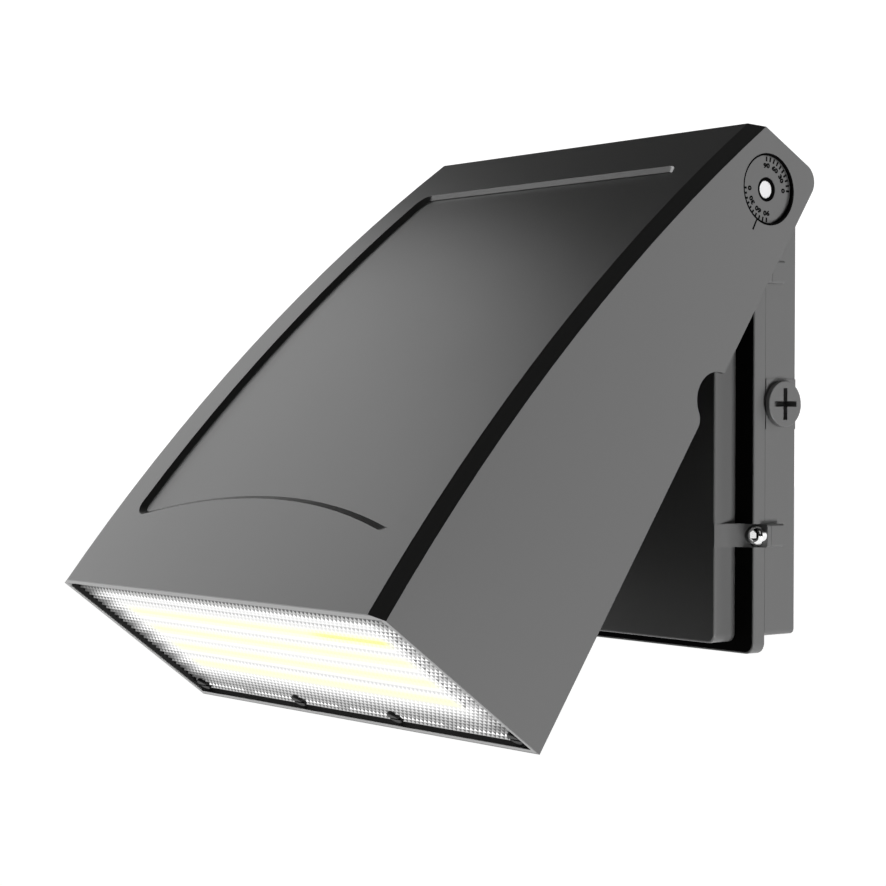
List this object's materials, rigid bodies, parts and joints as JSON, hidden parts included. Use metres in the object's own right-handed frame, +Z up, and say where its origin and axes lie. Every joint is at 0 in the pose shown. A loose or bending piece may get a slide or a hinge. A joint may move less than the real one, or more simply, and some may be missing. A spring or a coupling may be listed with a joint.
{
  "type": "wall light",
  "caption": "Outdoor flood wall light: a wide curved hood with a lit lens tilts between dial marks on a wall box.",
  "frame": {"origin": "middle of the four wall bolts, on the wall plane", "axes": "+Y into the wall, the light looks towards -Y, +X to the right of a viewer who faces the wall, +Z up"},
  "size_m": [0.3, 0.2974, 0.3151],
  "materials": {
    "cast_paint": "semi-gloss dark grey powder coat on die-cast aluminium",
    "dial_paint": "dark powder coat with black engraved marks",
    "bare_aluminium": "bare extruded aluminium",
    "driver_case": "potted plastic case",
    "bright_steel": "polished stainless steel",
    "plain_steel": "plain stainless steel",
    "dark_steel": "black oxide",
    "gasket": "black silicone",
    "foam": "closed-cell foam",
    "dark_plastic": "black nylon",
    "white_plastic": "white moulded plastic",
    "white_board": "white solder mask",
    "led_phosphor": "yellow phosphor",
    "lens_plastic": "clear prismatic polycarbonate"
  },
  "bodies": {
    "wall_box": {"back_box": "cast_paint", "wall_seal": "foam", "box_gasket": "gasket", "box_cover": "cast_paint", "cover_screws": "bright_steel", "conduit_plugs": "cast_paint", "plug_seals": "gasket", "pivot_hubs": "cast_paint", "dial_discs": "dial_paint", "pivot_pins": "bright_steel", "pin_seals": "gasket", "pivot_washers": "dark_plastic", "pivot_nuts": "plain_steel", "terminal_block": "white_plastic", "ground_screw": "plain_steel", "box_gland": "dark_plastic"},
    "head": {"hood": "cast_paint", "rear_cover": "cast_paint", "rear_gasket": "gasket", "rear_screws": "plain_steel", "driver": "driver_case", "driver_screws": "plain_steel", "head_gland": "dark_plastic", "breather_vent": "dark_plastic", "lens": "lens_plastic", "lens_gasket": "gasket", "lens_screws": "dark_steel", "reflector": "white_plastic", "led_board": "white_board", "led_chips": "led_phosphor", "heat_sink": "bare_aluminium", "sink_screws": "plain_steel"}
  },
  "joints": [
    {"name": "hood_tilt", "type": "hinge", "parent": "wall_box", "child": "head", "pos_m": [0, -0.0385, 0.112], "axis": [-1, 0, 0], "range_deg": [-30, 60]}
  ]
}
